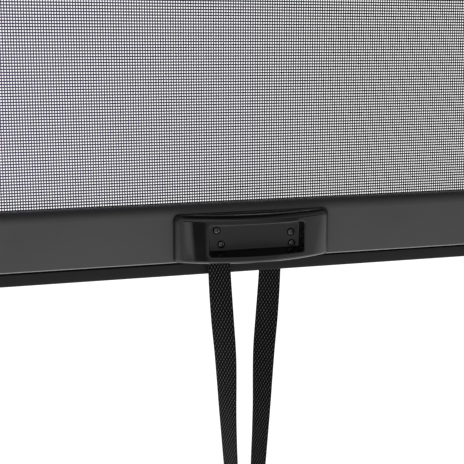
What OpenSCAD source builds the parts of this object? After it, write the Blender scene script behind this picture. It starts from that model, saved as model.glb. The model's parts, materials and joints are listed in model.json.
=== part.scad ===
// Retractable roller screen with a handled bottom bar, side rails and a spring cassette.
// X runs along the cassette, the front faces -Y, +Z is up.
// The origin is the centre of the cassette's back face, on the mounting plane.

/* [Overall] */
// Width over the end caps and the rail flanges
overall_w = 1200; // [900:10:1600]
// Length of the side rails below the cassette
rail_len = 720; // [500:10:1000]
// Depth and height of the cassette
cassette_size = 58; // [56:1:70]
// Wall thickness of the cassette extrusions
cassette_wall = 2; // [1.6:0.2:2.4]
// Distance from the mounting plane to the screen
screen_back = 16; // [15:0.5:18]

/* [Roller] */
// Outer radius of the roller tube
tube_r = 15.6; // [14.6:0.2:15.8]
// Radius over the turns of screen left on the tube
roll_r = 16.4; // [16:0.1:16.5]
// Wall thickness of the roller tube
tube_wall = 1.1; // [1:0.1:1.4]
// Radius of the spring shaft and of the idle pin
shaft_r = 4; // [3:0.5:5]
// Turns of the torsion spring
spring_turns = 30; // [12:1:36]

/* [Screen] */
// Thickness of the woven screen
screen_t = 0.45; // [0.3:0.05:0.6]
// Width of the welded tape on each edge of the screen
tape_w = 8; // [6:1:10]

/* [Bottom bar] */
// Height of the bar's front face
bar_h = 49; // [46:1:60]
// Depth of the bar from front to back
bar_d = 24; // [24:1:28]
// Radius of the bar's upper front edge
bar_nose_r = 9; // [6:0.5:9]
// Wall thickness of the bar
bar_wall = 1.6; // [1.4:0.2:2]
// Thickness of the bottom seal
seal_t = 3; // [2:0.5:3]
// How far the bottom seal hangs below the bar
seal_drop = 13.5; // [8:0.1:14]

/* [Handle] */
// Length of the handle
handle_len = 139; // [120:1:160]
// Height of the handle
handle_h = 41.2; // [38:0.2:42]
// How far the middle of the handle stands off the bar
handle_bow = 22.8; // [18:0.2:24]
// How far the ends of the handle stand off the bar
handle_end = 5.4; // [4:0.1:7]
// Length of the finger recess
recess_len = 84.8; // [70:0.2:90]
// Height of the finger recess
recess_h = 26.6; // [22:0.2:28]
// Height of the recess's lower edge above the bar's lower edge
recess_z = 7; // [6:0.5:8]
// Height of the recess's floor over the bar's face
floor_t = 7.1; // [6:0.1:8]

/* [Pull strap] */
// Width of the webbing
strap_w = 20; // [15:1:20]
// Thickness of the webbing
strap_t = 1.5; // [1:0.1:1.5]

/* [Hidden] */

$fn = 48;

// Colours, as the object shows them
coat = [0.27, 0.27, 0.28];
black = [0.04, 0.04, 0.045];
steel = [0.55, 0.56, 0.58];

// Cassette
half_w = overall_w / 2;
cap_t = 6;
housing_half = half_w - cap_t;
half_c = cassette_size / 2;
corner_r = 12;
seam_y = -34;
slot_half = 3.4;
screen_y = -screen_back;
roller_y = screen_y - roll_r - 0.6;
port_r = 3.8;
port_bore = 1.9;
port_back = [-5.6, half_c - 7.5];
port_front = [-(cassette_size - 7.5), half_c - 7.5];

// Mounting ears and flange holes
ear_t = 4;
ear_w = 22;
ear_h = 22;
ear_gap = 0.1;
mount_hole_r = 2.75;
mount_x = half_w - 11;
ear_z = half_c + 12;

// Rails: a front channel that opens inwards, a closed back chamber and an outer flange
rail_in = half_w - 50;
rail_out = half_w - 22;
rail_wall = 1.8;
rail_front = -(screen_back + 10);
channel_front = rail_front + rail_wall;
channel_back = -(screen_back - 8.2);
flange_t = 3;
rail_top = -half_c;
rail_bottom = rail_top - rail_len;
foot_t = 4;
flange_hole_z = [rail_top - 60, rail_top - rail_len / 2, rail_bottom + 60];

// Bottom bar: front face, lower edge and upper edge in the lowered position.
// Behind the screen the bar is lower than in front of it
bar_y = screen_y - 13;
bar_z = rail_bottom + 10;
bar_top = bar_z + bar_h;
bar_half = rail_in - 5;
bar_cap_t = 3;
web_z = 17.6;
rib_z = 9;
seal_back = 8;
groove_r = 2.6;
neck_half = 0.8;
groove_z = bar_h - 5.5;
boss_r = groove_r + bar_wall;
screen_d = screen_y - bar_y;
cap_port = [19.6, 21.4];
glide_port = [screen_d, 33];
glide_low = 8;
glide_high = 38;
glide_half = 7.9;
glide_end = rail_in + 16;
magnet_r = 3.6;
magnet_t = 3;
striker_t = 1.5;
landing_gap = 0.3;
striker_z = bar_z + glide_low - landing_gap - striker_t;

// Screen
tape_out = half_w - 26;
mesh_half = tape_out - tape_w;
tape_t = 0.9;
mesh_low = bar_z + groove_z + groove_r;

// Roller
tube_half = half_w - 22;
tube_in = tube_r - tube_wall;
spline_r = 1.9;
spline_at = tube_in - 2;
plug_flange_t = 3;
plug_len = 28;
plug_r = tube_in - 0.1;
running_gap = 0.06;
boss_len = 10;

// Handle
bow_r = (pow(handle_len / 2, 2) + pow(handle_bow - handle_end, 2)) / (2 * (handle_bow - handle_end));
handle_z = 0.7;
floor_plate = 2.5;
boss_screw_r = 4.5;
screw_places = [[-33.4, 27.7], [-29.5, 15.3], [32.9, 22.9], [33.8, 13]];
screw_reach = 5.8;

// Strap: both legs start inside the bar, the left one in front of the seal and the right one behind it
strap_mid_x = -3.6;
leg_front_d = bar_wall + 0.1 + strap_t / 2;
rib_back_d = seal_back + seal_t + 0.1 + bar_wall;
leg_back_d = rib_back_d + 0.1 + strap_t / 2;
// Each point: half the distance between the legs, height over the bar's lower edge, twist in degrees
leg_points = [[25, 6.5, 0], [25, 0, 0], [24.6, -14, 2], [23.4, -34, 9], [21.6, -58, 20], [19.2, -86, 32],
    [17.9, -112, 44], [16.9, -138, 54], [15.4, -166, 61], [13.6, -194, 66], [11.9, -222, 73],
    [10.5, -250, 81], [9.8, -274, 87], [9.6, -292, 90]];
bend_r = 9.6;
bend_steps = 9;

// Lays a (Y, Z) outline along X, centred
module along_x(length) {
    rotate([90, 0, 90]) linear_extrude(length, center = true) children();
}

// A rod along X from x0 to x1 at (y, z)
module rod_x(r, x0, x1, y, z) {
    translate([x0, y, z]) rotate([0, 90, 0]) cylinder(r = r, h = x1 - x0);
}

// A rod along +Y from y0 to y1 at (x, z)
module rod_y(r, y0, y1, x, z) {
    translate([x, y0, z]) rotate([-90, 0, 0]) cylinder(r = r, h = y1 - y0);
}

module both_sides() {
    children();
    mirror([1, 0, 0]) children();
}

module rect(x0, x1, y0, y1) {
    translate([x0, y0]) square([x1 - x0, y1 - y0]);
}

module quarter_ring(centre, r_out, r_in, sx, sy) {
    translate(centre) intersection() {
        difference() {
            circle(r_out);
            circle(r_in);
        }
        scale([sx, sy]) square(r_out);
    }
}

// ---- Cassette ----

module cassette_housing() {
    color(coat) along_x(2 * housing_half) difference() {
        union() {
            rect(-cassette_wall, 0, -half_c, half_c);
            rect(seam_y, 0, half_c - cassette_wall, half_c);
            rect(screen_y + slot_half, 0, -half_c, -half_c + cassette_wall);
            translate(port_back) circle(port_r);
            translate([port_back[0], -port_back[1]]) circle(port_r);
        }
        translate(port_back) circle(port_bore);
        translate([port_back[0], -port_back[1]]) circle(port_bore);
    }
}

module cassette_cover() {
    front = -cassette_size;
    arc_y = front + corner_r;
    arc_z = half_c - corner_r;
    color(coat) along_x(2 * housing_half) difference() {
        union() {
            rect(front, front + cassette_wall, -arc_z, arc_z);
            rect(arc_y, seam_y - 0.2, half_c - cassette_wall, half_c);
            rect(arc_y, screen_y - slot_half, -half_c, -half_c + cassette_wall);
            rect(seam_y - 4, seam_y + 4, half_c - cassette_wall - 2.2, half_c - cassette_wall - 0.2);
            rect(seam_y - 4, seam_y - 0.2, half_c - cassette_wall - 2.2, half_c);
            quarter_ring([arc_y, arc_z], corner_r, corner_r - cassette_wall, -1, 1);
            quarter_ring([arc_y, -arc_z], corner_r, corner_r - cassette_wall, -1, -1);
            translate(port_front) circle(port_r);
            translate([port_front[0], -port_front[1]]) circle(port_r);
        }
        translate(port_front) circle(port_bore);
        translate([port_front[0], -port_front[1]]) circle(port_bore);
    }
}

module cassette_outline() {
    rect(-cassette_size + corner_r, 0, -half_c, half_c);
    rect(-cassette_size, 0, -half_c + corner_r, half_c - corner_r);
    for (s = [-1, 1])
        translate([-cassette_size + corner_r, s * (half_c - corner_r)]) circle(corner_r);
}

// Head and shank of a screw driven along -X into the right-hand end
module end_screw(head_r, head_t, shank_r, x_head, length, y, z) {
    difference() {
        union() {
            rod_x(head_r, x_head, x_head + head_t, y, z);
            rod_x(shank_r, x_head - length, x_head, y, z);
        }
        for (a = [0, 90])
            translate([x_head + head_t, y, z]) rotate([a, 0, 0]) cube([1.6, 0.8, head_r * 1.2], center = true);
    }
}

module for_each_port() {
    for (p = [port_back, port_front], s = [-1, 1])
        translate([0, p[0], s * p[1]]) children();
}

module end_cap() {
    difference() {
        union() {
            translate([housing_half + cap_t / 2, 0, 0]) along_x(cap_t) cassette_outline();
            translate([half_w - ear_w, -ear_t, half_c + ear_gap]) cube([ear_w, ear_t, ear_h - ear_gap]);
            translate([housing_half, -ear_t, half_c - 1]) cube([cap_t, ear_t, 2]);
            rod_x(9, housing_half - boss_len, housing_half, roller_y, 0);
        }
        rod_x(shaft_r + 0.05, housing_half - boss_len - 1, half_w - 1.5, roller_y, 0);
        rod_y(mount_hole_r, -ear_t - 1, 1, mount_x, ear_z);
        for_each_port() {
            rod_x(2.2, housing_half - 1, half_w + 1, 0, 0);
            rod_x(4.1, half_w - 3, half_w + 1, 0, 0);
        }
    }
}

module end_cap_left() {
    color(black) mirror([1, 0, 0]) end_cap();
}

module end_cap_right() {
    color(black) end_cap();
}

module cap_screws() {
    color(steel) both_sides() for_each_port()
        end_screw(3.7, 2.4, port_bore - 0.05, half_w - 3, 19, 0, 0);
}

module exit_brushes() {
    pile = slot_half - 0.6;
    low = -half_c + 0.4;
    color(black) {
        along_x(2 * mesh_half) rect(screen_y - slot_half, screen_y - slot_half + pile, low, low + 4);
        along_x(2 * mesh_half) rect(screen_y + slot_half - pile, screen_y + slot_half, low, low + 4);
    }
}

module spring_shaft() {
    color(steel) rod_x(shaft_r, -half_w + 1.6, -half_w + 220, roller_y, 0);
}

module shaft_collar() {
    color(black) difference() {
        rod_x(9, -half_w + 206, -half_w + 216, roller_y, 0);
        rod_x(shaft_r + 0.05, -half_w + 205, -half_w + 217, roller_y, 0);
    }
}

function coil_point(t, r, length) = [t * length, r * cos(t * 360 * spring_turns), r * sin(t * 360 * spring_turns)];

module torsion_spring() {
    per_turn = 10;
    sides = 5;
    coil_r = 7.4;
    wire_r = 0.7;
    length = 146;
    rings = spring_turns * per_turn;
    points = [for (i = [0:rings], k = [0:sides - 1])
        let (a = i / rings * 360 * spring_turns, w = k * 360 / sides, c = coil_point(i / rings, coil_r, length))
            [c[0] + wire_r * sin(w), c[1] + wire_r * cos(w) * cos(a), c[2] + wire_r * cos(w) * sin(a)]];
    walls = [for (i = [0:rings - 1], k = [0:sides - 1])
        let (n = (k + 1) % sides) [i * sides + k, i * sides + n, (i + 1) * sides + n, (i + 1) * sides + k]];
    first = [for (k = [sides - 1:-1:0]) k];
    last = [for (k = [0:sides - 1]) rings * sides + k];
    color(steel) translate([-half_w + 58, roller_y, 0]) polyhedron(points, concat(walls, [first, last]));
}

module idle_pin() {
    color(steel) rod_x(shaft_r, tube_half - 16, half_w - 1.6, roller_y, 0);
}

// ---- Roller ----

module tube_outline() {
    difference() {
        union() {
            difference() {
                circle(tube_r, $fn = 96);
                circle(tube_in, $fn = 96);
            }
            translate([spline_at, 0]) circle(spline_r + 1);
        }
        translate([spline_at, 0]) circle(spline_r + 0.1);
        rect(spline_at, tube_r + 1, -0.5, 0.5);
    }
}

module roller_tube() {
    color(steel) translate([0, roller_y, 0]) along_x(2 * tube_half) tube_outline();
}

// The plug's body leaves room for the spline channel inside the tube
module plug(bore_len) {
    difference() {
        union() {
            rod_x(roll_r - 0.2, tube_half, tube_half + plug_flange_t, roller_y, 0);
            translate([tube_half - plug_len / 2, roller_y, 0]) along_x(plug_len) difference() {
                circle(plug_r);
                rect(spline_at - spline_r - 1.2, tube_r, -spline_r - 1.2, spline_r + 1.2);
            }
        }
        rod_x(shaft_r + running_gap, tube_half - bore_len, tube_half + plug_flange_t + 1, roller_y, 0);
    }
}

module spring_plug() {
    color(black) mirror([1, 0, 0]) plug(plug_len + 1);
}

module idle_plug() {
    color(black) plug(18);
}

module fabric_roll() {
    color(black) translate([0, roller_y, 0]) along_x(2 * mesh_half) difference() {
        circle(roll_r, $fn = 96);
        circle(tube_r + 0.05, $fn = 96);
    }
}

module fabric_spline() {
    color(black) rod_x(spline_r, -mesh_half, mesh_half, roller_y + spline_at, 0);
}

// ---- Screen ----

module screen_mesh() {
    color([0.3, 0.3, 0.32]) translate([-mesh_half, screen_y - screen_t / 2, mesh_low])
        cube([2 * mesh_half, screen_t, -mesh_low]);
}

module edge_tape() {
    translate([mesh_half, screen_y - tape_t / 2, mesh_low]) cube([tape_w, tape_t, -mesh_low]);
}

module edge_tape_left() {
    color(black) mirror([1, 0, 0]) edge_tape();
}

module edge_tape_right() {
    color(black) edge_tape();
}

// ---- Rails ----

module rail_outline() {
    rect(rail_in, rail_out, rail_front, channel_front);
    rect(rail_out - rail_wall, rail_out, rail_front, 0);
    rect(rail_in, rail_out, channel_back, channel_back + rail_wall);
    rect(rail_in, rail_out, -rail_wall, 0);
    rect(rail_in, rail_in + rail_wall, channel_back, 0);
    rect(rail_out - 1, half_w, -flange_t, 0);
}

foot_screw_x = rail_in + 13;
foot_screw_z = rail_bottom + 8;

module rail() {
    difference() {
        translate([0, 0, rail_bottom]) linear_extrude(rail_len) rail_outline();
        for (z = flange_hole_z) rod_y(mount_hole_r, -flange_t - 1, 1, mount_x, z);
        rod_y(1.7, rail_front - 1, channel_front + 1, foot_screw_x, foot_screw_z);
    }
}

module rail_left() {
    color(coat) mirror([1, 0, 0]) rail();
}

module rail_right() {
    color(coat) rail();
}

module rail_pile() {
    low = striker_z + 4;
    tall = rail_top - 2 - low;
    reach = 0.45 + tape_t / 2;
    for (y = [channel_front, screen_y + reach])
        translate([glide_end + 2, y, low]) cube([7, screen_y - reach - channel_front, tall]);
}

module rail_pile_left() {
    color(black) mirror([1, 0, 0]) rail_pile();
}

module rail_pile_right() {
    color(black) rail_pile();
}

module rail_foot() {
    difference() {
        union() {
            translate([rail_in, rail_front, rail_bottom - foot_t])
                cube([half_w - rail_in, -rail_front, foot_t]);
            translate([rail_in + 3, channel_front + 0.2, rail_bottom - 0.5])
                cube([rail_out - rail_wall - rail_in - 3.5, channel_back - channel_front - 0.4,
                    striker_z - rail_bottom + 0.5]);
        }
        rod_y(1.5, channel_front - 1, channel_front + 10, foot_screw_x, foot_screw_z);
        translate([rail_out, rail_front - 1, rail_bottom - foot_t - 1])
            cube([30, -rail_front + 1 - flange_t, foot_t + 2]);
    }
}

module rail_foot_left() {
    color(black) mirror([1, 0, 0]) rail_foot();
}

module rail_foot_right() {
    color(black) rail_foot();
}

// A screw driven along +Y, with a crossed recess in its head
module front_screw(head_r, head_t, shank_r, y_seat, y_tip, x, z) {
    difference() {
        union() {
            rod_y(head_r, y_seat - head_t, y_seat, x, z);
            rod_y(shank_r, y_seat, y_tip, x, z);
        }
        for (a = [0, 90])
            translate([x, y_seat - head_t, z]) rotate([0, a, 0]) cube([0.9, 1.8, head_r * 1.2], center = true);
    }
}

module foot_screws() {
    color(steel) both_sides()
        front_screw(3, 1.8, 1.45, rail_front, channel_front + 9, foot_screw_x, foot_screw_z);
}

module striker_plates() {
    color(steel) both_sides()
        translate([rail_in + 3.2, screen_y - 6, striker_z]) cube([12, 12, striker_t]);
}

// ---- Bottom bar ----

// Places a (depth behind the bar's face, height over its lower edge) outline in the frame
module at_bar() {
    translate([bar_y, bar_z]) children();
}

module bar_outline() {
    difference() {
        union() {
            rect(0, bar_wall, bar_wall / 2, bar_h - bar_nose_r);
            translate([bar_wall / 2, bar_wall / 2]) circle(bar_wall / 2);
            quarter_ring([bar_nose_r, bar_h - bar_nose_r], bar_nose_r, bar_nose_r - bar_wall, -1, 1);
            rect(bar_nose_r, screen_d, bar_h - bar_wall, bar_h);
            rect(screen_d - neck_half - bar_wall, screen_d, groove_z, bar_h);
            rect(screen_d + boss_r - bar_wall / 2, bar_d, groove_z - bar_wall, groove_z);
            rect(bar_d - bar_wall, bar_d, 2, groove_z);
            rect(bar_wall / 2, bar_d - bar_wall / 2, web_z, web_z + bar_wall);
            rect(seal_back - 0.1 - bar_wall, seal_back - 0.1, rib_z, web_z + 0.5);
            rect(seal_back + seal_t + 0.1, rib_back_d, 2, web_z + 0.5);
            translate([screen_d, groove_z]) circle(boss_r);
            translate(cap_port) circle(3);
            translate(glide_port) circle(3.2);
            rect(glide_port[0] + 2, bar_d - 0.5, glide_port[1] - 0.8, glide_port[1] + 0.8);
        }
        translate([screen_d, groove_z]) circle(groove_r);
        rect(screen_d - neck_half, screen_d + neck_half, groove_z, bar_h + 1);
        translate(cap_port) circle(1.5);
        translate(glide_port) circle(1.5);
    }
}

module bar_extrusion() {
    color(coat) difference() {
        along_x(2 * bar_half) at_bar() bar_outline();
        for (p = screw_places) rod_y(1.95, bar_y - 1, bar_y + bar_wall + 1, p[0], bar_z + p[1]);
    }
}

module bar_cap() {
    difference() {
        translate([bar_half + bar_cap_t / 2, 0, 0]) along_x(bar_cap_t) at_bar() {
            rect(0, bar_d, 0, bar_h - bar_nose_r);
            rect(bar_nose_r, screen_d, 0, bar_h);
            rect(bar_nose_r, bar_d, 0, groove_z);
            translate([bar_nose_r, bar_h - bar_nose_r]) circle(bar_nose_r);
            translate([screen_d, groove_z]) circle(boss_r);
        }
        for (p = [cap_port, glide_port])
            rod_x(1.7, bar_half - 1, bar_half + bar_cap_t + 1, bar_y + p[0], bar_z + p[1]);
        translate([bar_half - 1, screen_y - neck_half, mesh_low - 0.5])
            cube([bar_cap_t + 2, 2 * neck_half, bar_h]);
    }
}

module bar_cap_left() {
    color(black) mirror([1, 0, 0]) bar_cap();
}

module bar_cap_right() {
    color(black) bar_cap();
}

module bar_cap_screws() {
    color(steel) both_sides()
        end_screw(2.6, 1.4, 1.45, bar_half + bar_cap_t, 14, bar_y + cap_port[0], bar_z + cap_port[1]);
}

glide_start = bar_half + bar_cap_t;
magnet_x = rail_in + 9;

module glide() {
    difference() {
        union() {
            translate([glide_start, bar_y + glide_port[0] - 5, bar_z + glide_low + 14])
                cube([6, 9, glide_high - glide_low - 14]);
            translate([rail_in + 1.5, screen_y - glide_half, bar_z + glide_low])
                cube([glide_end - rail_in - 1.5, 2 * glide_half, glide_high - glide_low]);
        }
        rod_x(1.7, glide_start - 1, glide_end + 1, bar_y + glide_port[0], bar_z + glide_port[1]);
        rod_x(3.2, glide_end - 6, glide_end + 1, bar_y + glide_port[0], bar_z + glide_port[1]);
        translate([magnet_x, screen_y, bar_z + glide_low - 1]) cylinder(r = magnet_r + 0.05, h = magnet_t + 1);
    }
}

module glide_left() {
    color("ivory") mirror([1, 0, 0]) glide();
}

module glide_right() {
    color("ivory") glide();
}

module glide_screws() {
    color(steel) both_sides()
        end_screw(2.9, 1.8, 1.45, glide_end - 6, 24, bar_y + glide_port[0], bar_z + glide_port[1]);
}

module hold_magnets() {
    color(steel) both_sides()
        translate([magnet_x, screen_y, bar_z + glide_low]) cylinder(r = magnet_r, h = magnet_t);
}

module bar_spline() {
    color(black) rod_x(groove_r - 0.2, -bar_half + 1, bar_half - 1, screen_y, bar_z + groove_z);
}

module weight_rod() {
    color(steel) rod_x(5, -bar_half + 45, bar_half - 45, bar_y + 11, bar_z + web_z + bar_wall + 5.1);
}

module bottom_seal() {
    color(black) along_x(2 * bar_half) at_bar()
        rect(seal_back, seal_back + seal_t, -seal_drop, web_z - 0.2);
}

// ---- Handle ----

// Bowed front with a recess, hollow behind the recess's floor except round the screws
module handle() {
    floor_y = bar_y - floor_t;
    color(black) difference() {
        translate([0, 0, bar_z + handle_z]) linear_extrude(handle_h) intersection() {
            translate([0, bar_y - handle_bow + bow_r]) circle(bow_r, $fn = 360);
            rect(-handle_len / 2, handle_len / 2, bar_y - handle_bow - 1, bar_y);
        }
        translate([-recess_len / 2, floor_y - 40, bar_z + recess_z]) cube([recess_len, 40, recess_h]);
        for (p = screw_places) {
            rod_y(2.1, floor_y - 1, bar_y + 1, p[0], bar_z + p[1]);
            rod_y(4, floor_y - 1, floor_y + 0.8, p[0], bar_z + p[1]);
        }
        difference() {
            translate([-recess_len / 2 + 2, floor_y + floor_plate, bar_z + recess_z + 2])
                cube([recess_len - 4, floor_t, recess_h - 4]);
            for (p = screw_places) rod_y(boss_screw_r, floor_y, bar_y, p[0], bar_z + p[1]);
        }
    }
}

module handle_screws() {
    color(steel) for (p = screw_places)
        front_screw(3.1, 2, 1.9, bar_y - floor_t + 0.8, bar_y + screw_reach, p[0], bar_z + p[1]);
}

// ---- Pull strap ----

clamp_z = 8;
clamp_t = 1.5;
left_x = strap_mid_x - leg_points[0][0];
right_x = strap_mid_x + leg_points[0][0];

// A plate that pinches a strap end against the wall at depth d and screws to that wall above it
module strap_clamp(x, d) {
    gap = strap_t + 0.2;
    difference() {
        union() {
            translate([x - 11, bar_y + d + gap, bar_z + 2.5]) cube([22, clamp_t, 9]);
            translate([x - 11, bar_y + d, bar_z + 6.7]) cube([22, gap + 0.1, 4.8]);
        }
        for (s = [-1, 1]) rod_y(1.3, bar_y + d - 1, bar_y + d + 5, x + s * 6, bar_z + 9);
    }
}

module strap_clamps() {
    color(steel) {
        strap_clamp(left_x, bar_wall);
        strap_clamp(right_x, rib_back_d);
    }
}

module clamp_screw(x, d) {
    seat = bar_y + d + strap_t + 0.2 + clamp_t;
    rod_y(1.25, bar_y + d, seat, x, bar_z + 9);
    rod_y(2.2, seat, seat + 1, x, bar_z + 9);
}

module clamp_screws() {
    color(steel) for (s = [-1, 1]) {
        clamp_screw(left_x + s * 6, bar_wall);
        clamp_screw(right_x + s * 6, rib_back_d);
    }
}

last_leg = len(leg_points) - 1;
mid_d = (leg_front_d + leg_back_d) / 2;

// Both legs drift to the middle depth on the way down
function leg_depth(from, z) = mid_d + (from - mid_d) * max(0, 1 + min(0, z + 14) / 278);

function leg_ring(side, from, p) =
    [[strap_mid_x + side * p[0], bar_y + leg_depth(from, p[1]), bar_z + p[1]], p[2]];

// The rings of the strap: down the left leg, round the bend and up the right leg
strap_rings = concat(
    [for (p = leg_points) leg_ring(-1, leg_front_d, p)],
    [for (i = [1:bend_steps - 1]) let (a = 180 * i / bend_steps)
        [[strap_mid_x - bend_r * cos(a), bar_y + mid_d, bar_z + leg_points[last_leg][1] - bend_r * sin(a)], 90]],
    [for (i = [last_leg:-1:0]) leg_ring(1, leg_back_d, leg_points[i])]);

function unit(v) = v / norm(v);

// Eight corners round one ring: a flat section whose wide side turns by the twist
function strap_section(i) =
    let (n = len(strap_rings) - 1,
        here = strap_rings[i][0],
        along = unit(strap_rings[min(i + 1, n)][0] - strap_rings[max(i - 1, 0)][0]),
        turn = strap_rings[i][1],
        flat = [cos(turn), -sin(turn), 0],
        wide = unit(flat - (flat * along) * along),
        thin = cross(along, wide),
        w = strap_w / 2,
        t = strap_t / 2)
    [for (c = [[-w, -t * 0.4], [-w * 0.96, -t], [w * 0.96, -t], [w, -t * 0.4],
            [w, t * 0.4], [w * 0.96, t], [-w * 0.96, t], [-w, t * 0.4]])
        here + wide * c[0] + thin * c[1]];

module pull_strap() {
    count = len(strap_rings);
    points = [for (i = [0:count - 1]) each strap_section(i)];
    walls = [for (i = [0:count - 2], k = [0:7])
        let (n = (k + 1) % 8) [i * 8 + k, i * 8 + n, (i + 1) * 8 + n, (i + 1) * 8 + k]];
    first = [for (k = [7:-1:0]) k];
    last = [for (k = [0:7]) (count - 1) * 8 + k];
    color(black) polyhedron(points, concat(walls, [first, last]));
}

cassette_housing();
cassette_cover();
end_cap_left();
end_cap_right();
cap_screws();
exit_brushes();
spring_shaft();
torsion_spring();
shaft_collar();
idle_pin();
roller_tube();
spring_plug();
idle_plug();
fabric_roll();
fabric_spline();
screen_mesh();
edge_tape_left();
edge_tape_right();
rail_left();
rail_right();
rail_pile_left();
rail_pile_right();
rail_foot_left();
rail_foot_right();
foot_screws();
striker_plates();
bar_extrusion();
bar_cap_left();
bar_cap_right();
bar_cap_screws();
glide_left();
glide_right();
glide_screws();
hold_magnets();
bar_spline();
weight_rod();
bottom_seal();
handle();
handle_screws();
strap_clamps();
clamp_screws();
pull_strap();
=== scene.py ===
"""Looks of the retractable roller screen: webbing, woven screen, handle, seal, materials and studio."""

import json
import math

import bmesh
import bpy
import numpy as np
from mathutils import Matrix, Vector


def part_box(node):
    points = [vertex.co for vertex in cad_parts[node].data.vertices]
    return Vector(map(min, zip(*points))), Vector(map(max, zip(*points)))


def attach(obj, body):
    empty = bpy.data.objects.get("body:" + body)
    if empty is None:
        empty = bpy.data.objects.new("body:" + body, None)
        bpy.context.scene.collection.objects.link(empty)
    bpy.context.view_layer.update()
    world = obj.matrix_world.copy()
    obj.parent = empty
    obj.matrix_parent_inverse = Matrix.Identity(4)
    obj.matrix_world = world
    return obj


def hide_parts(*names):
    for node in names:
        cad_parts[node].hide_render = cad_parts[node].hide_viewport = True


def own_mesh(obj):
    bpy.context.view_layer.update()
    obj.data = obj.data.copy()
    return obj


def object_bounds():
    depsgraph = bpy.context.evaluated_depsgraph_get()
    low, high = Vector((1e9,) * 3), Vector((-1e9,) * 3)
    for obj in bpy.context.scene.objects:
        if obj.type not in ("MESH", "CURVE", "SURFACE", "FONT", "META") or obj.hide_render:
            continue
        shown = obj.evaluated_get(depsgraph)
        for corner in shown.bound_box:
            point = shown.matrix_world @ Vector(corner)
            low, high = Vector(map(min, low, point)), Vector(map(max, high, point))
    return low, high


MM = 0.001
TAU = 2 * math.pi

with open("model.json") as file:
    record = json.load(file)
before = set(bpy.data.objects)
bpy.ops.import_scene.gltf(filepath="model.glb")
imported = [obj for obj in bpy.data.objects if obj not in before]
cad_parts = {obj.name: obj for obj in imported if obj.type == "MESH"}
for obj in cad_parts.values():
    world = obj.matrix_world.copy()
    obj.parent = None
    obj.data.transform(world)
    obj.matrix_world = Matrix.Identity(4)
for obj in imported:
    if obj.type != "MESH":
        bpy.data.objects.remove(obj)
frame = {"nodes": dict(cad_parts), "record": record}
cad_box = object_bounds()
nodes = frame["nodes"]

# ---- Places taken from the frame ----
bar_lo, bar_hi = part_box("bar_extrusion")
handle_lo, handle_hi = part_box("handle")
mesh_lo, mesh_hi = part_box("screen_mesh")
seal_lo, seal_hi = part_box("bottom_seal")
roll_lo, roll_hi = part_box("fabric_roll")

FACE_Y = bar_lo.y
BAR_Z = bar_lo.z

# ---- Camera ----
CAMERA_OFFSET = Vector((-248.8, -795, 188)) * MM
CAMERA_YAW = 16.2
CAMERA_PITCH = 11.2
CAMERA_LENS = 76.4


def make_camera():
    data = bpy.data.cameras.new("camera")
    data.sensor_width = 36
    data.lens = CAMERA_LENS
    data.clip_start, data.clip_end = 0.05, 50
    camera = bpy.data.objects.new("camera", data)
    bpy.context.scene.collection.objects.link(camera)
    camera.location = Vector((0, FACE_Y, BAR_Z)) + CAMERA_OFFSET
    camera.rotation_euler = (math.radians(90 - CAMERA_PITCH), 0, math.radians(-CAMERA_YAW))
    bpy.context.scene.camera = camera


make_camera()


# ---- Mesh helpers ----
def link(name, mesh):
    piece = bpy.data.objects.new(name, mesh)
    bpy.context.scene.collection.objects.link(piece)
    return piece


def mesh_piece(name, points, faces, smooth=True):
    """A new mesh object from lists of points, in metres, and faces."""
    mesh = bpy.data.meshes.new(name)
    mesh.from_pydata([tuple(p) for p in points], [], faces)
    mesh.validate()
    if smooth:
        mesh.shade_smooth()
    return link(name, mesh)


def grid_faces(rings, around, closed=True, start=0):
    """Quads between rings of points; each ring has the same number of points."""
    last = around if closed else around - 1
    return [
        (start + i * around + k, start + i * around + (k + 1) % around,
         start + (i + 1) * around + (k + 1) % around, start + (i + 1) * around + k)
        for i in range(rings - 1)
        for k in range(last)
    ]


def rod_faces(rings, around, start=0):
    """Quads between rings of points, and a face over each end."""
    last = start + (rings - 1) * around
    ends = [tuple(range(start, start + around))[::-1], tuple(range(last, last + around))]
    return grid_faces(rings, around, start=start) + ends


def sharp_by_angle(piece, degrees):
    """Smooth shading that keeps edges above the angle crisp."""
    piece.data.shade_smooth()
    piece.data.set_sharp_from_angle(angle=math.radians(degrees))


# ---- Pull strap ----
STRAP_W = 20 * MM
STRAP_T = 1.5 * MM
# The route's places are in mm from the middle of the bar's lower front edge
STRAP_MID_X = -3.6
LEG_FRONT_D = 2.45
LEG_BACK_D = 13.55
LEG_MIDDLE_D = (LEG_FRONT_D + LEG_BACK_D) / 2
CLOSING_FROM_Z = -14
BEND_R = 9.6
BEND_STEPS = 9
# Half the distance between the legs, height over the bar's lower edge, twist in degrees
LEG_POINTS = [
    (25, 6.5, 0), (25, 0, 0), (24.6, -14, 2), (23.4, -34, 9), (21.6, -58, 20), (19.2, -86, 32),
    (17.9, -112, 44), (16.9, -138, 54), (15.4, -166, 61), (13.6, -194, 66), (11.9, -222, 73),
    (10.5, -250, 81), (9.8, -274, 87), (9.6, -292, 90),
]
ROUTE_STEP = 0.6
WEAVE_COLUMNS = 13
WEAVE_ROW = 5.0
WEAVE_SLANT = 0.35
WEAVE_HIGH = 0.34
SELVEDGE = 0.9
STRAP_COLUMNS = 62


def leg_depth(start, z):
    """Depth of a leg at height z: from where it starts it closes in on the middle depth at the bend."""
    share = (z - CLOSING_FROM_Z) / (LEG_POINTS[-1][1] - CLOSING_FROM_Z)
    return LEG_MIDDLE_D + (start - LEG_MIDDLE_D) * min(1, max(0, 1 - share))


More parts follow.
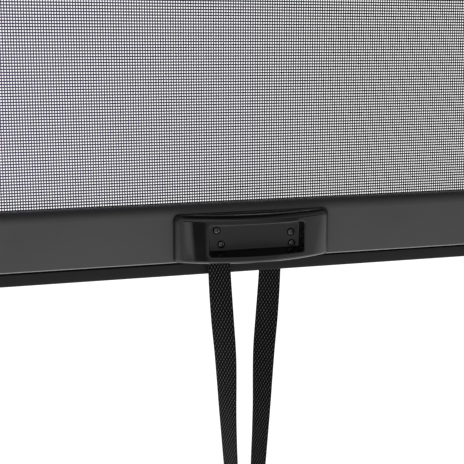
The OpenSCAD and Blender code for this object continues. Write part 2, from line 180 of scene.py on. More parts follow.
def strap_route():
    """Points down the left leg, round the bend and up the right leg, with the twist at each."""
    low = LEG_POINTS[-1][1]
    route = [(STRAP_MID_X - h, leg_depth(LEG_FRONT_D, z), z, t) for h, z, t in LEG_POINTS]
    for i in range(1, BEND_STEPS):
        a = math.pi * i / BEND_STEPS
        route.append((STRAP_MID_X - BEND_R * math.cos(a), LEG_MIDDLE_D, low - BEND_R * math.sin(a), 90))
    route += [(STRAP_MID_X + h, leg_depth(LEG_BACK_D, z), z, t) for h, z, t in reversed(LEG_POINTS)]
    return np.array(route)


def smooth_through(points, step):
    """A Catmull-Rom curve through the points, resampled at even steps."""
    ends = np.vstack([2 * points[0] - points[1], points, 2 * points[-1] - points[-2]])
    fine = []
    for i in range(1, len(ends) - 2):
        a, b, c, d = ends[i - 1 : i + 3]
        for t in np.arange(0, 1, 0.05):
            fine.append(0.5 * (2 * b + (c - a) * t + (2 * a - 5 * b + 4 * c - d) * t**2
                               + (3 * b - a - 3 * c + d) * t**3))
    fine = np.array(fine + [points[-1]])
    along = np.concatenate([[0], np.cumsum(np.linalg.norm(np.diff(fine[:, :3], axis=0), axis=1))])
    at = np.linspace(0, along[-1], max(2, round(along[-1] / step)))
    return np.stack([np.interp(at, along, fine[:, k]) for k in range(fine.shape[1])], 1), at


def weave_height(across, along, half, side):
    """Height of the floats of the webbing, from 0 to 1, at a place across and along it."""
    inner = half - SELVEDGE
    column = (across + inner) / (2 * inner) * WEAVE_COLUMNS
    number = np.floor(column)
    local = column - number - 0.5
    phase = along / WEAVE_ROW + 0.5 * (number % 2) + side * WEAVE_SLANT * local
    body = np.cos(math.pi * local) ** 0.8 * (0.5 + 0.5 * np.cos(TAU * phase)) ** 1.1
    edge = 0.5 + 0.2 * np.cos(TAU * along / (WEAVE_ROW / 2))
    return np.where(np.abs(across) < inner, body, edge)


def make_strap():
    route = strap_route()
    rings, along = smooth_through(route, ROUTE_STEP)
    centre = rings[:, :3]
    tangent = np.gradient(centre, axis=0)
    tangent /= np.linalg.norm(tangent, axis=1)[:, None]
    turn = np.radians(rings[:, 3])
    flat = np.stack([np.cos(turn), -np.sin(turn), np.zeros_like(turn)], 1)
    wide = flat - (flat * tangent).sum(1)[:, None] * tangent
    wide /= np.linalg.norm(wide, axis=1)[:, None]
    thin = np.cross(tangent, wide)
    half = STRAP_W / MM / 2
    across = np.linspace(-half, half, STRAP_COLUMNS)
    edge_round = np.sqrt(np.clip(1 - (np.abs(across) / half) ** 12, 0.02, 1))
    base = STRAP_T / MM / 2 - WEAVE_HIGH * 0.6
    points, floats = [], []
    for side, order in ((1, across), (-1, across[::-1])):
        rounding = edge_round if side == 1 else edge_round[::-1]
        u, v = np.meshgrid(order, along)
        raised = weave_height(u, v, half, side)
        floats.append(raised)
        high = side * (base + WEAVE_HIGH * raised) * rounding[None, :]
        place = centre[:, None] + wide[:, None] * u[..., None] + thin[:, None] * high[..., None]
        points.append(place)
    points = np.concatenate(points, 1)
    count, around = points.shape[:2]
    points = points.reshape(-1, 3) * MM + np.array([0, FACE_Y, BAR_Z])
    piece = mesh_piece("strap_webbing", points, rod_faces(count, around))
    layer = piece.data.attributes.new("float", "FLOAT", "POINT")
    layer.data.foreach_set("value", np.concatenate(floats, 1).ravel().astype(np.float32))
    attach(piece, "bottom_bar")
    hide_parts("pull_strap")
    return piece


strap = make_strap()

# ---- Woven screen ----
WARP_PITCH = 2.15 * MM
WEFT_PITCH = 2.37 * MM
WARP_WIDE = 1.08 * MM
WEFT_WIDE = 1.36 * MM
STRAND_SIDES = 6


def make_screen():
    """Flattened warp and weft strands that run into each other where they cross."""
    points, faces = [], []
    middle = (mesh_lo.y + mesh_hi.y) / 2
    thick = (mesh_hi.y - mesh_lo.y) / 2

    def add(ends):
        faces.extend(rod_faces(2, STRAND_SIDES, len(points)))
        points.extend(p for end in ends for p in end)

    ring = [TAU * (k + 0.5) / STRAND_SIDES for k in range(STRAND_SIDES)]
    for x in np.arange(mesh_lo.x + WARP_WIDE / 2, mesh_hi.x - WARP_WIDE / 2, WARP_PITCH):
        add([[(x + WARP_WIDE / 2 * math.cos(a), middle + thick * math.sin(a), z) for a in ring]
             for z in (mesh_lo.z, mesh_hi.z)])
    for z in np.arange(mesh_lo.z + WEFT_WIDE / 2, mesh_hi.z - WEFT_WIDE / 2, WEFT_PITCH):
        add([[(x, middle + thick * math.sin(a), z + WEFT_WIDE / 2 * math.cos(a)) for a in ring]
             for x in (mesh_lo.x, mesh_hi.x)])
    piece = mesh_piece("woven_screen", points, faces, smooth=False)
    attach(piece, "root")
    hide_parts("screen_mesh")
    return piece


screen = make_screen()


# Section of an edge tape, in shares of its width and thickness, and its dipping stitch line
TAPE_PROFILE = [(0, -0.3), (0.04, -0.5), (0.3, -0.5), (0.36, -0.34), (0.42, -0.5), (0.96, -0.5), (1, -0.3),
                (1, 0.3), (0.96, 0.5), (0.04, 0.5), (0, 0.3)]
TAPE_STITCH = 3
TAPE_STEPS = 560


def make_edge_tape(side):
    """The welded edge of the screen, with a line of stitching pressed into it."""
    name = f"edge_tape_{side}"
    lo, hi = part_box(name)
    points = []
    for i in range(TAPE_STEPS + 1):
        z = lo.z + (hi.z - lo.z) * i / TAPE_STEPS
        for k, (u, v) in enumerate(TAPE_PROFILE):
            dip = 0.5 if k == TAPE_STITCH and i % 2 else 1
            x = lo.x + (hi.x - lo.x) * (u if side == "right" else 1 - u)
            points.append((x, (lo.y + hi.y) / 2 + (hi.y - lo.y) * v * dip, z))
    piece = mesh_piece(f"welded_edge_{side}", points, rod_faces(TAPE_STEPS + 1, len(TAPE_PROFILE)))
    sharp_by_angle(piece, 40)
    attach(piece, "root")
    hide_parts(name)
    return piece


tapes = [make_edge_tape("left"), make_edge_tape("right")]
for soft in [screen, *tapes]:
    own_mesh(soft)


# ---- Turns of screen on the roller ----
ROLL_BUILD = 0.75 * MM
ROLL_TURNS = 1.95
ROLL_STEPS = 150
CLOTH_T = 0.33 * MM


def make_roll():
    """Nearly two spiral turns of cloth round the tube."""
    lo, hi = roll_lo, roll_hi
    axis_y, axis_z = (lo.y + hi.y) / 2, (lo.z + hi.z) / 2
    outer = (hi.z - lo.z) / 2
    line = []
    for i in range(ROLL_STEPS + 1):
        t = i / ROLL_STEPS
        line.append((TAU * ROLL_TURNS * t, outer - ROLL_BUILD + (ROLL_BUILD - CLOTH_T) * t))
    section = line + [(a, r + CLOTH_T) for a, r in reversed(line)]
    stations = np.linspace(lo.x, hi.x, 9)
    points = [(x, axis_y + r * math.cos(a), axis_z - r * math.sin(a)) for x in stations for a, r in section]
    piece = mesh_piece("wound_screen", points, rod_faces(len(stations), len(section)))
    sharp_by_angle(piece, 40)
    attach(piece, "roller")
    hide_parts("fabric_roll")
    return piece


roll = make_roll()

# ---- Handle ----
CORNER_STEPS = 10
SIDE_STEPS = {"long": 72, "short": 20}
HANDLE_CORNER = 5.5 * MM
TOP_FILLET = 5.0 * MM
END_FILLET = 5.4 * MM
HANDLE_END = 5.4 * MM
LOWER_FILLET = 2.4 * MM
RECESS_HALF = 42.3 * MM
RECESS_LOW = 6.95 * MM
RECESS_HIGH = 33.5 * MM
RECESS_CORNER = 2.6 * MM
RECESS_LIP = 0.9 * MM
RECESS_DRAFT = math.radians(11)
RECESS_DEEP = 13 * MM
TOP_DRAFT_SHARE = 0.6
FLOOR_FILLET = 1.6 * MM
FLOOR_D = 7.1 * MM
SCREW_HEAD_R = 2.7 * MM
SCREW_HEAD_T = 2.0 * MM
SCREW_PLACES = [(-33.4, 27.7), (-29.5, 15.3), (32.9, 22.9), (33.8, 13.0)]
COUNTERBORE_R = 3.5 * MM
COUNTERBORE_T = 0.8 * MM
RING_T = 2.2 * MM
SHANK_HOLE_R = 2.1 * MM
CIRCLE_STEPS = 40
SHANK_R = 1.9 * MM
SHANK_LEN = 12.1 * MM
THREAD_PITCH = 0.7 * MM
SCREW_AROUND = 48
DOME_RINGS = 15


def rounded_loop(x0, x1, z0, z1, r_top, r_low):
    """Points round a rectangle with rounded corners, always in the same order and number."""
    points = []
    corners = [((x1 - r_low, z0 + r_low), -90, r_low), ((x1 - r_top, z1 - r_top), 0, r_top),
               ((x0 + r_top, z1 - r_top), 90, r_top), ((x0 + r_low, z0 + r_low), 180, r_low)]
    for c, (centre, start, r) in enumerate(corners):
        arc = [(centre[0] + r * math.cos(math.radians(start + 90 * i / CORNER_STEPS)),
                centre[1] + r * math.sin(math.radians(start + 90 * i / CORNER_STEPS)))
               for i in range(CORNER_STEPS + 1)]
        points += arc
        (nx, nz), ns, nr = corners[(c + 1) % 4]
        goal = (nx + nr * math.cos(math.radians(ns)), nz + nr * math.sin(math.radians(ns)))
        steps = SIDE_STEPS["short"] if c % 2 == 0 else SIDE_STEPS["long"]
        for i in range(1, steps):
            points.append(tuple(np.array(arc[-1]) + (np.array(goal) - arc[-1]) * i / steps))
    return np.array(points)


def bow(x):
    """How far the handle's face stands off the bar at x."""
    half = (handle_hi.x - handle_lo.x) / 2
    high = handle_hi.y - handle_lo.y
    rise = high - HANDLE_END
    radius = (half**2 + rise**2) / (2 * rise)
    return np.sqrt(radius**2 - np.clip(x, -half, half) ** 2) - radius + high


def make_handle():
    """Nested loops: outer wall, edge fillet, bowed face, recess lip, drafted wall and floor."""
    x1 = (handle_hi.x - handle_lo.x) / 2
    low, high = handle_lo.z - BAR_Z, handle_hi.z - BAR_Z
    outer = rounded_loop(-x1, x1, low, high, HANDLE_CORNER, HANDLE_CORNER * 0.55)
    inset_corner = HANDLE_CORNER * 0.6
    face = rounded_loop(-x1 + END_FILLET, x1 - END_FILLET, low + LOWER_FILLET, high - TOP_FILLET,
                        inset_corner, inset_corner * 0.6)
    lip = rounded_loop(-RECESS_HALF - RECESS_LIP, RECESS_HALF + RECESS_LIP, RECESS_LOW - RECESS_LIP,
                       RECESS_HIGH + RECESS_LIP, RECESS_CORNER + RECESS_LIP, RECESS_CORNER + RECESS_LIP)
    mouth = rounded_loop(-RECESS_HALF, RECESS_HALF, RECESS_LOW, RECESS_HIGH, RECESS_CORNER, RECESS_CORNER)
    loops = []

    def add(plan, depth):
        loops.append(np.column_stack([plan[:, 0], -depth, plan[:, 1]]))

    add(outer, np.zeros(len(outer)))
    inset = np.linalg.norm(outer - face, axis=1)
    fillet = np.minimum(inset, bow(outer[:, 0]) * 0.85)
    for i in range(9):
        a = math.radians(90 * i / 8)
        plan = outer + (face - outer) * (1 - math.cos(a))
        add(plan, bow(plan[:, 0]) - fillet * (1 - math.sin(a)))
    for i in range(1, 12):
        plan = face + (lip - face) * i / 11
        add(plan, bow(plan[:, 0]))
    for i in range(1, 7):
        a = math.radians(90 * i / 6)
        plan = lip + (mouth - lip) * math.sin(a)
        add(plan, bow(plan[:, 0]) - RECESS_LIP * (1 - math.cos(a)))
    wall_top = bow(mouth[:, 0]) - RECESS_LIP
    wall_fall = wall_top - FLOOR_D - FLOOR_FILLET
    draft_x = math.tan(RECESS_DRAFT) * (bow(np.array([RECESS_HALF]))[0] - FLOOR_D)
    draft_low = math.tan(RECESS_DRAFT) * RECESS_DEEP
    draft_top = draft_low * TOP_DRAFT_SHARE
    foot = rounded_loop(-RECESS_HALF + draft_x, RECESS_HALF - draft_x, RECESS_LOW + draft_low,
                        RECESS_HIGH - draft_top, RECESS_CORNER, RECESS_CORNER)
    for i in range(1, 7):
        plan = mouth + (foot - mouth) * i / 6
        add(plan, wall_top - wall_fall * i / 6)
    floor_edge = rounded_loop(-RECESS_HALF + draft_x + FLOOR_FILLET, RECESS_HALF - draft_x - FLOOR_FILLET,
                              RECESS_LOW + draft_low + FLOOR_FILLET, RECESS_HIGH - draft_top - FLOOR_FILLET,
                              RECESS_CORNER * 0.5, RECESS_CORNER * 0.5)
    for i in range(1, 6):
        a = math.radians(90 * i / 5)
        plan = foot + (floor_edge - foot) * (1 - math.cos(a))
        add(plan, FLOOR_D + FLOOR_FILLET * (1 - math.sin(a)) * np.ones(len(plan)))
    around = len(outer)
    points = np.vstack(loops)
    faces = grid_faces(len(loops), around)
    faces.append(tuple(range(around))[::-1])
    points = points + np.array([0, FACE_Y, BAR_Z])
    shell = mesh_piece("handle_shell", points, faces)
    floor = make_floor(floor_edge)
    bpy.ops.object.select_all(action="DESELECT")
    floor.select_set(True)
    shell.select_set(True)
    bpy.context.view_layer.objects.active = shell
    bpy.ops.object.join()
    weld(shell, 0.02 * MM)
    sharp_by_angle(shell, 50)
    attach(shell, "bottom_bar")
    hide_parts("handle")
    return shell


def weld(piece, distance):
    """Joins points closer than the distance and turns all faces outwards."""
    bm = bmesh.new()
    bm.from_mesh(piece.data)
    bmesh.ops.remove_doubles(bm, verts=bm.verts, dist=distance)
    bmesh.ops.recalc_face_normals(bm, faces=bm.faces)
    bm.to_mesh(piece.data)
    bm.free()


def circle_points(x, z, r):
    angles = [TAU * i / CIRCLE_STEPS for i in range(CIRCLE_STEPS)]
    return [(x + r * math.cos(a), z + r * math.sin(a)) for a in angles]


def make_floor(edge):
    """The recess's flat floor, with a counterbore and a deep ring-shaped gap round each screw."""
    data = bpy.data.curves.new("floor", "CURVE")
    data.dimensions = "2D"
    data.fill_mode = "FRONT"
    holes = [circle_points(x * MM, z * MM, COUNTERBORE_R) for x, z in SCREW_PLACES]
    for outline in [list(edge), *holes]:
        spline = data.splines.new("POLY")
        spline.points.add(len(outline) - 1)
        for point, (x, z) in zip(spline.points, outline):
            point.co = (x, z, 0, 1)
        spline.use_cyclic_u = True
    curve = link("floor_outline", data)
    flat = bpy.data.meshes.new_from_object(curve.evaluated_get(bpy.context.evaluated_depsgraph_get()))
    bpy.data.objects.remove(curve)
    points = [(v.co.x, -FLOOR_D, v.co.y) for v in flat.vertices]
    faces = [tuple(p.vertices) for p in flat.polygons]
    bpy.data.meshes.remove(flat)
    for x, z in SCREW_PLACES:
        start = len(points)
        rings = [(COUNTERBORE_R, 0), (COUNTERBORE_R - 0.1 * MM, 0.2 * MM),
                 (COUNTERBORE_R - 0.15 * MM, RING_T), (SCREW_HEAD_R, RING_T),
                 (SCREW_HEAD_R - 0.1 * MM, COUNTERBORE_T), (SHANK_HOLE_R, COUNTERBORE_T),
                 (SHANK_HOLE_R, FLOOR_D)]
        for r, sink in rings:
            points += [(px, -FLOOR_D + sink, pz) for px, pz in circle_points(x * MM, z * MM, r)]
        faces += grid_faces(len(rings), CIRCLE_STEPS, start=start)
    points = [(x, y + FACE_Y, z + BAR_Z) for x, y, z in points]
    return mesh_piece("floor", points, faces)


handle = make_handle()

# ---- Handle screws ----
def screw_rings():
    """Radius and height of each ring of a screw: domed head, rim and threaded shank, down to the tip."""
    rings = []
    for i in range(DOME_RINGS):
        r = SCREW_HEAD_R * (i + 0.35) / (DOME_RINGS + 0.2)
        dome = math.sqrt(max(0, 1 - (r / SCREW_HEAD_R) ** 2.6))
        rings.append((r, SCREW_HEAD_T * (0.55 + 0.45 * dome)))
    rings += [(SCREW_HEAD_R, SCREW_HEAD_T * 0.5), (SCREW_HEAD_R, SCREW_HEAD_T * 0.12)]
    rings += [(SCREW_HEAD_R * 0.97, 0), (SHANK_R, 0)]
    for i in range(int(SHANK_LEN / THREAD_PITCH)):
        rings += [(SHANK_R * 0.78, -(i + 0.3) * THREAD_PITCH), (SHANK_R, -(i + 0.75) * THREAD_PITCH)]
    return rings + [(SHANK_R * 0.3, -SHANK_LEN)]


def cross_sink(x, z, angle):
    """How deep the pressed cross is at a place on the head."""
    arm, wide = SCREW_HEAD_R * 0.62, SCREW_HEAD_R * 0.17
    u = x * math.cos(angle) + z * math.sin(angle)
    v = -x * math.sin(angle) + z * math.cos(angle)
    inside = min(wide - min(abs(u), abs(v)), arm - max(abs(u), abs(v)))
    return min(max(inside / (0.12 * MM), 0), 1) * SCREW_HEAD_T * 0.55


def add_screw(points, faces, place, angle):
    """A pan head with a pressed cross recess, on a threaded shank, driven along +Y."""
    start = len(points)
    rings = screw_rings()
    for n, (r, h) in enumerate(rings):
        for k in range(SCREW_AROUND):
            a = TAU * k / SCREW_AROUND
            x, z = r * math.cos(a), r * math.sin(a)
            sink = cross_sink(x, z, angle) if n < DOME_RINGS else 0
            points.append((place[0] + x, place[1] - h + sink, place[2] + z))
    faces += rod_faces(len(rings), SCREW_AROUND, start)


def make_handle_screws():
    points, faces = [], []
    seat = FACE_Y - FLOOR_D + COUNTERBORE_T
    for n, (x, z) in enumerate(SCREW_PLACES):
        place = (x * MM, seat, BAR_Z + z * MM)
        add_screw(points, faces, place, 0.35 + 0.6 * n)
    piece = mesh_piece("crosshead_screws", points, faces)
    weld(piece, 0.001 * MM)
    sharp_by_angle(piece, 35)
    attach(piece, "bottom_bar")
    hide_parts("handle_screws")
    return piece


screws = make_handle_screws()

# ---- Bottom seal ----
# Heights of the groove's two edges below the bar, and its depth as a share of the strip's thickness
SEAL_GROOVE = (3.4 * MM, 0.6 * MM)
SEAL_GROOVE_DEEP = 0.75


def make_seal():
    """An extruded strip with a rounded lower lip and a deep groove just under the bar's edge."""
    lo, hi = seal_lo, seal_hi
    thick, high = hi.y - lo.y, hi.z - lo.z
    lip = [(0.5 - 0.5 * math.cos(a), 0.5 * thick / high * (1 - math.sin(a)))
           for a in np.radians(np.arange(0, 181, 20))]
    low, top = ((BAR_Z - drop - lo.z) / high for drop in SEAL_GROOVE)
    groove = [(0, top), (SEAL_GROOVE_DEEP, top), (SEAL_GROOVE_DEEP, low), (0, low)]
    outline = lip + [(1, 1), (0, 1)] + groove
    stations = np.linspace(lo.x, hi.x, 60)
    points = [(x, lo.y + v * thick, lo.z + w * high) for x in stations for v, w in outline]
    piece = mesh_piece("seal_strip", points, rod_faces(len(stations), len(outline)))
    sharp_by_angle(piece, 35)
    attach(piece, "bottom_bar")
    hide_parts("bottom_seal")
    return piece


seal = make_seal()

# ---- Materials ----
# Painted highlight: a pale grey band along the bar's lower front edge, standing in for the floor's
# reflection there
EDGE_HIGHLIGHT = (0.26, 0.26, 0.265, 1)
EDGE_HIGHLIGHT_FROM = 0.4 * MM
EDGE_HIGHLIGHT_TO = 1.3 * MM


def put(tree, socket, value):
    """Links the socket to another one, or sets it to a plain value."""
    if isinstance(value, bpy.types.NodeSocket):
        tree.links.new(value, socket)
    else:
        socket.default_value = value


def tree_math(tree, operation, a, b=0.0):
    node = tree.nodes.new("ShaderNodeMath")
    node.operation = operation
    put(tree, node.inputs[0], a)
    put(tree, node.inputs[1], b)
    return node.outputs["Value"]


class Nodes:
    """Short calls for building one material's nodes."""

    def __init__(self, name, **values):
        self.material = bpy.data.materials.new(name)
        self.material.use_nodes = True
        self.tree = self.material.node_tree
        self.shader = self.tree.nodes["Principled BSDF"]
        for key, value in values.items():
            self.shader.inputs[key.replace("_", " ")].default_value = value

    def add(self, kind, **inputs):
        node = self.tree.nodes.new(kind)
        for key, value in inputs.items():
            put(self.tree, node.inputs[key.replace("_", " ")], value)
        return node

    def place(self, scale=(1, 1, 1)):
        """Object coordinates, scaled."""
        where = self.add("ShaderNodeTexCoord")
        mapping = self.add("ShaderNodeMapping", Vector=where.outputs["Object"], Scale=scale)
        return mapping.outputs["Vector"]

    def noise(self, vector, scale, detail=3.0, roughness=0.5):
        node = self.add("ShaderNodeTexNoise", Vector=vector, Scale=scale, Detail=detail, Roughness=roughness)
        return node.outputs["Fac"]

    def cells(self, vector, scale):
        return self.add("ShaderNodeTexVoronoi", Vector=vector, Scale=scale).outputs["Distance"]

    def ramp(self, value, low, high, a, b):
        """Maps value from low..high to a..b, as colours or numbers."""
        if isinstance(a, (tuple, list)):
            node = self.add("ShaderNodeValToRGB", Fac=value)
            node.color_ramp.elements[0].position = low
            node.color_ramp.elements[0].color = (*a, 1)
            node.color_ramp.elements[1].position = high
            node.color_ramp.elements[1].color = (*b, 1)
            return node.outputs["Color"]
        node = self.tree.nodes.new("ShaderNodeMapRange")
        for socket, v in zip(node.inputs, (value, low, high, a, b)):
            put(self.tree, socket, v)
        return node.outputs["Result"]

    def math(self, operation, a, b=0.0):
        return tree_math(self.tree, operation, a, b)

    def blend(self, share, a, b):
        node = self.tree.nodes.new("ShaderNodeMix")
        node.data_type = "RGBA"
        put(self.tree, node.inputs["Factor"], share)
        put(self.tree, node.inputs[6], a)
        put(self.tree, node.inputs[7], b)
        return node.outputs[2]

    def bump(self, height, distance, strength=1.0):
        node = self.add("ShaderNodeBump", Height=height, Distance=distance, Strength=strength)
        self.tree.links.new(node.outputs["Normal"], self.shader.inputs["Normal"])

    def colour(self, value):
        put(self.tree, self.shader.inputs["Base Color"], value)

    def rough(self, value):
        put(self.tree, self.shader.inputs["Roughness"], value)


def powder_coat(name, highlight_z=None):
    """Satin powder coat: a soft orange-peel bump and slight clouding, with a painted highlight as a pale
    band along a lower edge.
    """
    m = Nodes(name, Specular_IOR_Level=0.5)
    at = m.place()
    cloud = m.noise(at, 14, 4, 0.6)
    speck = m.noise(at, 2600, 2, 0.6)
    coat = m.ramp(cloud, 0.3, 0.7, (0.045, 0.045, 0.0465), (0.052, 0.052, 0.0535))
    if highlight_z is not None:
        # Painted highlight: blend the coat to the pale grey in a thin band just above the given lower edge
        height = m.add("ShaderNodeSeparateXYZ", Vector=at).outputs["Z"]
        edge = m.math("ADD", height, m.math("MULTIPLY", cloud, 0.4 * MM))
        highlight_share = m.ramp(edge, highlight_z + EDGE_HIGHLIGHT_FROM, highlight_z + EDGE_HIGHLIGHT_TO, 1.0, 0.0)
        coat = m.blend(highlight_share, coat, EDGE_HIGHLIGHT)
    m.colour(coat)
    m.rough(m.ramp(m.math("ADD", cloud, m.math("MULTIPLY", speck, 0.25)), 0.4, 0.9, 0.40, 0.50))
    m.bump(m.math("ADD", speck, m.math("MULTIPLY", m.noise(at, 700, 2), 0.8)), 0.00004, 0.6)
    return m.material


def moulded_black():
    """Matt moulded plastic with a fine pebbled grain."""
    m = Nodes("moulded_black")
    at = m.place()
    grain = m.cells(at, 1500)
    m.colour(m.ramp(m.noise(at, 30, 3), 0.3, 0.7, (0.016, 0.016, 0.017), (0.022, 0.022, 0.023)))
    m.rough(m.ramp(grain, 0.0, 0.6, 0.42, 0.6))
    m.bump(grain, 0.00005, 0.5)
    return m.material


def polished_black():
    """Glossy black moulding with faint smears and hair scratches, left matt on the recess floor."""
    m = Nodes("polished_black", Specular_IOR_Level=0.5)
    at = m.place()
    smear = m.noise(at, 45, 5, 0.65)
    hair = m.noise(m.place((60, 60, 2600)), 3, 2)
    m.colour(m.ramp(smear, 0.3, 0.7, (0.0035, 0.0035, 0.004), (0.006, 0.006, 0.0065)))
    depth = m.add("ShaderNodeSeparateXYZ", Vector=at).outputs["Y"]
    matt = m.ramp(depth, FACE_Y - FLOOR_D - 3 * MM, FACE_Y - FLOOR_D + 0.2 * MM, 0.0, 0.38)
    gloss = m.ramp(m.math("ADD", smear, m.math("MULTIPLY", hair, 0.15)), 0.35, 0.95, 0.03, 0.09)
    m.rough(m.math("ADD", gloss, matt))
    m.bump(m.math("ADD", m.noise(at, 160, 2), m.math("MULTIPLY", hair, 0.06)), 0.00003, 0.35)
    return m.material


def metal(name, colour, low, high, along=(1, 1, 1), streak=900):
    """Bare or plated metal with drawing streaks along one direction and dulled patches."""
    m = Nodes(name, Metallic=1.0)
    lines = m.noise(m.place(along), streak, 3, 0.6)
    patch = m.noise(m.place(), 35, 4, 0.6)
    dulled = m.math("ADD", m.math("MULTIPLY", lines, 0.5), m.math("MULTIPLY", patch, 0.5))
    m.colour(m.ramp(dulled, 0.3, 0.7, tuple(c * 0.72 for c in colour), colour))
    m.rough(m.ramp(m.math("ADD", lines, patch), 0.6, 1.4, low, high))
    m.bump(lines, 0.00002, 0.5)
    return m.material


def webbing_black():
    """Black polyester yarn: fibres along the floats, paler where a float rises and catches light."""
    m = Nodes("webbing_black", Specular_IOR_Level=0.06)
    fibre = m.noise(m.place((900, 900, 260)), 6, 3, 0.6)
    raised = m.add("ShaderNodeAttribute")
    raised.attribute_name = "float"
    tone = m.math("MULTIPLY", raised.outputs["Fac"], m.math("ADD", fibre, 0.5))
    m.colour(m.ramp(tone, 0.45, 1.0, (0.0004, 0.0004, 0.0005), (0.105, 0.105, 0.108)))
    m.rough(m.ramp(fibre, 0.2, 0.8, 0.5, 0.72))
    m.bump(fibre, 0.00006, 0.6)
    return m.material


def coated_yarn():
    """Vinyl-coated screen yarn: a little uneven and near-black, with a painted violet sheen at the left that
    fades out towards the right.
    """
    m = Nodes("coated_yarn", Specular_IOR_Level=0.35)
    at = m.place()
    uneven = m.noise(at, 420, 3, 0.6)
    # Painted sheen: the yarn is paler and violet at the left and fades to its own near-black towards the
    # right
    across = m.add("ShaderNodeSeparateXYZ", Vector=at).outputs["X"]
    across = m.ramp(m.math("ADD", across, m.math("MULTIPLY", uneven, 0.04)), -0.22, 0.12, 0.0, 1.0)
    m.colour(m.ramp(across, 0.0, 1.0, (0.088, 0.079, 0.148), (0.006, 0.007, 0.007)))
    m.rough(m.ramp(uneven, 0.3, 0.7, 0.42, 0.6))
    m.bump(uneven, 0.00008, 0.7)
    return m.material


def pressed_tape():
    """Woven edge tape pressed flat by the weld."""
    m = Nodes("pressed_tape", Sheen_Weight=0.2, Sheen_Roughness=0.5)
    wave = m.add("ShaderNodeTexWave", Vector=m.place(), Scale=520.0, Distortion=0.4)
    wave.bands_direction = "DIAGONAL"
    m.colour(m.ramp(wave.outputs["Fac"], 0.2, 0.8, (0.010, 0.010, 0.011), (0.022, 0.022, 0.023)))
    m.rough(m.ramp(wave.outputs["Fac"], 0, 1, 0.55, 0.7))
    m.bump(wave.outputs["Fac"], 0.00006, 0.7)
    return m.material


def upright_pile():
    """Short dense pile: fine upright fibres."""
    m = Nodes("upright_pile", Sheen_Weight=0.5, Sheen_Roughness=0.4)
    hair = m.noise(m.place((1, 0.06, 1)), 2600, 3, 0.7)
    m.colour(m.ramp(hair, 0.3, 0.7, (0.006, 0.006, 0.006), (0.028, 0.028, 0.029)))
    m.rough(m.ramp(hair, 0, 1, 0.7, 0.9))
    m.bump(hair, 0.0003, 0.9)
    return m.material


def seal_rubber():
    """Extruded rubber: fine lengthways drag lines and a chalky bloom."""
    m = Nodes("seal_rubber", Specular_IOR_Level=0.2)
    drag = m.noise(m.place((6, 900, 900)), 3, 3)
    bloom = m.noise(m.place(), 60, 4, 0.65)
    m.colour(m.ramp(bloom, 0.3, 0.7, (0.006, 0.006, 0.0065), (0.010, 0.010, 0.0105)))
    m.rough(m.ramp(m.math("ADD", drag, bloom), 0.6, 1.4, 0.5, 0.66))
    m.bump(drag, 0.00005, 0.5)
    return m.material


def soft_vinyl():
    m = Nodes("soft_vinyl")
    spread = m.noise(m.place(), 300, 3)
    m.colour(m.ramp(spread, 0.3, 0.7, (0.02, 0.02, 0.02), (0.035, 0.035, 0.036)))
    m.rough(m.ramp(spread, 0.2, 0.8, 0.35, 0.5))
    m.bump(spread, 0.00004, 0.5)
    return m.material


def natural_nylon():
    """Cloudy natural nylon with faint flow marks."""
    m = Nodes("natural_nylon", Subsurface_Weight=0.15, Subsurface_Scale=0.002)
    flow = m.noise(m.place(), 180, 4, 0.6)
    m.colour(m.ramp(flow, 0.3, 0.7, (0.60, 0.57, 0.49), (0.70, 0.68, 0.61)))
    m.rough(m.ramp(flow, 0.2, 0.8, 0.33, 0.5))
    m.bump(flow, 0.00004, 0.4)
    return m.material


FINISHES = {
    "powder_coat": powder_coat("powder_coat"),
    "black_plastic": moulded_black(),
    "gloss_black": polished_black(),
    "zinc_screw": metal("zinc_screw", (0.62, 0.63, 0.66), 0.2, 0.38, streak=1400),
    "black_screw": metal("black_screw", (0.120, 0.120, 0.126), 0.14, 0.26, streak=1800),
    "pile": upright_pile(),
    "plain_steel": metal("plain_steel", (0.50, 0.50, 0.52), 0.28, 0.46, along=(0.05, 1, 1)),
    "spring_steel": metal("spring_steel", (0.25, 0.25, 0.27), 0.25, 0.42, streak=1500),
    "mill_aluminium": metal("mill_aluminium", (0.78, 0.79, 0.81), 0.26, 0.42, along=(0.03, 1, 1)),
    "mesh_fabric": coated_yarn(),
    "edge_tape": pressed_tape(),
    "soft_vinyl": soft_vinyl(),
    "nylon": natural_nylon(),
    "magnet_nickel": metal("magnet_nickel", (0.66, 0.64, 0.60), 0.08, 0.2, streak=600),
    "seal_rubber": seal_rubber(),
    "webbing": webbing_black(),
}

slot_of = {row["node"]: row["material_slot"] for row in frame["record"]["subparts"]}


def dress(piece, finish):
    piece.data.materials.clear()
    piece.data.materials.append(FINISHES[finish])


for name, node in nodes.items():
    if len(node.material_slots):
        for holder in node.material_slots:
            holder.material = FINISHES[slot_of[name]]
    else:
        node.data.materials.append(FINISHES[slot_of[name]])

# The bar's own coat, with the painted highlight along its lower edge
nodes["bar_extrusion"].data.materials[0] = powder_coat("powder_coat_bar", BAR_Z)

for piece, finish in [
    (strap, "webbing"), (screen, "mesh_fabric"), (roll, "mesh_fabric"), (tapes[0], "edge_tape"),
    (tapes[1], "edge_tape"), (handle, "gloss_black"), (screws, "black_screw"), (seal, "seal_rubber"),
]:
    dress(piece, finish)

# ---- Studio ----
# Brightness by height above the horizon, as the sine of the angle
HEIGHT_LIGHT = [(-1, 0.64), (-0.12, 0.50), (0.02, 0.49), (0.14, 0.9), (0.42, 1.0), (0.55, 0.5), (0.8, 0.42),
                (0.88, 0.04), (1, 0.02)]
# Brightness by direction, in degrees from the front with the right positive
SIDE_LIGHT = [(-180, 0.7), (-130, 0.7), (-110, 0.9), (-90, 1.4), (-80, 1.4), (-76, 0.05), (-41, 0.05),
              (-39.5, 2.6), (-31.5, 2.6), (-30, 0.2), (-21.5, 0.2), (-19, 0.95), (25, 0.92), (40, 0.5),
              (180, 0.5)]
# The side light leans by this many degrees for each unit of height over the level
PANEL_LEAN = 50
PANEL_LEVEL = -0.195
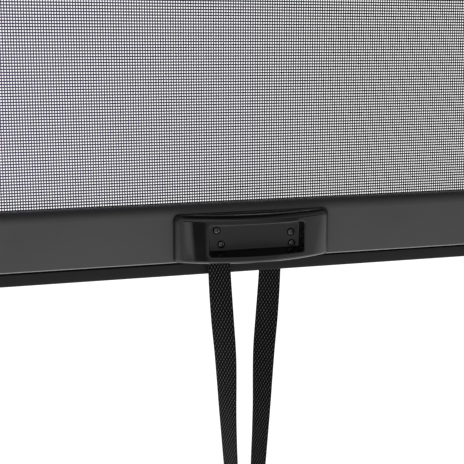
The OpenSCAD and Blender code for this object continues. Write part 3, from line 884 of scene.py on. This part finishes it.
# Glow of the floor by place in metres along Y, where the front is negative
FLOOR_GLOW = [(-2, 0.55), (-1.1, 0.6), (-0.6, 1.7), (0.1, 1.7), (0.5, 1.02), (2, 1.02)]
FLOOR_FRONT = -1.9
FLOOR_GAP = 0.18
WALL_Y = 7.0
WALL_HIGH = 8.0
SWEEP_R = 2.5
SWEEP_HALF = 12.0


def level_ramp(tree, value, table, low, high):
    """Rows of (place, level) as a ramp of grey over low..high, and the level that white stands for."""
    node = tree.nodes.new("ShaderNodeValToRGB")
    ramp = node.color_ramp
    while len(ramp.elements) < len(table):
        ramp.elements.new(0.5)
    peak = max(level for _, level in table)
    for element, (place, level) in zip(ramp.elements, table):
        grey = level / peak
        element.position = (place - low) / (high - low)
        element.color = (grey, grey, grey, 1)
    shift = tree.nodes.new("ShaderNodeMapRange")
    tree.links.new(value, shift.inputs["Value"])
    shift.inputs["From Min"].default_value = low
    shift.inputs["From Max"].default_value = high
    tree.links.new(shift.outputs["Result"], node.inputs["Fac"])
    return node.outputs["Color"], peak


def make_world():
    """Soft light all round that is brightest low in the sky and dark overhead.

    At the left are a bright leaning panel with dark gaps beside it and, further round, a paler strip.
    """
    world = bpy.data.worlds.new("studio")
    world.use_nodes = True
    tree = world.node_tree
    where = tree.nodes.new("ShaderNodeTexCoord")
    split = tree.nodes.new("ShaderNodeSeparateXYZ")
    tree.links.new(where.outputs["Generated"], split.inputs[0])
    x, y, z = split.outputs
    angle = tree_math(tree, "ARCTAN2", x, tree_math(tree, "MULTIPLY", y, -1.0))
    lean = tree_math(tree, "MULTIPLY", tree_math(tree, "SUBTRACT", z, PANEL_LEVEL), PANEL_LEAN)
    angle = tree_math(tree, "ADD", tree_math(tree, "MULTIPLY", angle, 180 / math.pi), lean)
    by_side, side_peak = level_ramp(tree, angle, SIDE_LIGHT, -180, 180)
    by_height, height_peak = level_ramp(tree, z, HEIGHT_LIGHT, -1, 1)
    level = tree_math(tree, "MULTIPLY", by_side, by_height)
    tree.links.new(tree_math(tree, "MULTIPLY", level, side_peak * height_peak),
                   tree.nodes["Background"].inputs["Strength"])
    tree.nodes["Background"].inputs["Color"].default_value = (1, 1, 1, 1)
    bpy.context.scene.world = world


def studio_white():
    """A pale surface that glows white: most of all under and before the object, least at the very front."""
    m = Nodes("studio_white", Roughness=0.9)
    m.shader.inputs["Base Color"].default_value = (0.3, 0.3, 0.3, 1)
    m.shader.inputs["Emission Color"].default_value = (1, 1, 1, 1)
    split = m.add("ShaderNodeSeparateXYZ", Vector=m.place())
    glow, peak = level_ramp(m.tree, split.outputs["Y"], FLOOR_GLOW, -2, 2)
    put(m.tree, m.shader.inputs["Emission Strength"], m.math("MULTIPLY", glow, peak))
    return m.material


def make_backdrop():
    """A pale floor that curves up into a pale wall behind the object."""
    floor_z = cad_box[0][2] - FLOOR_GAP
    profile = [(FLOOR_FRONT, 0.0), (WALL_Y - SWEEP_R, 0.0)]
    profile += [(WALL_Y - SWEEP_R + SWEEP_R * math.sin(a), SWEEP_R - SWEEP_R * math.cos(a))
                for a in np.radians(np.arange(6, 91, 6))]
    profile += [(WALL_Y, WALL_HIGH)]
    points = [(x, y, floor_z + z) for x in (-SWEEP_HALF, SWEEP_HALF) for y, z in profile]
    sweep = mesh_piece("studio_sweep", points, grid_faces(2, len(profile), closed=False))
    sweep.data.materials.append(studio_white())


make_backdrop()
make_world()

scene = bpy.context.scene
scene.view_settings.view_transform = "Standard"
scene.view_settings.look = "None"
scene.view_settings.exposure = 0
scene.view_settings.gamma = 1
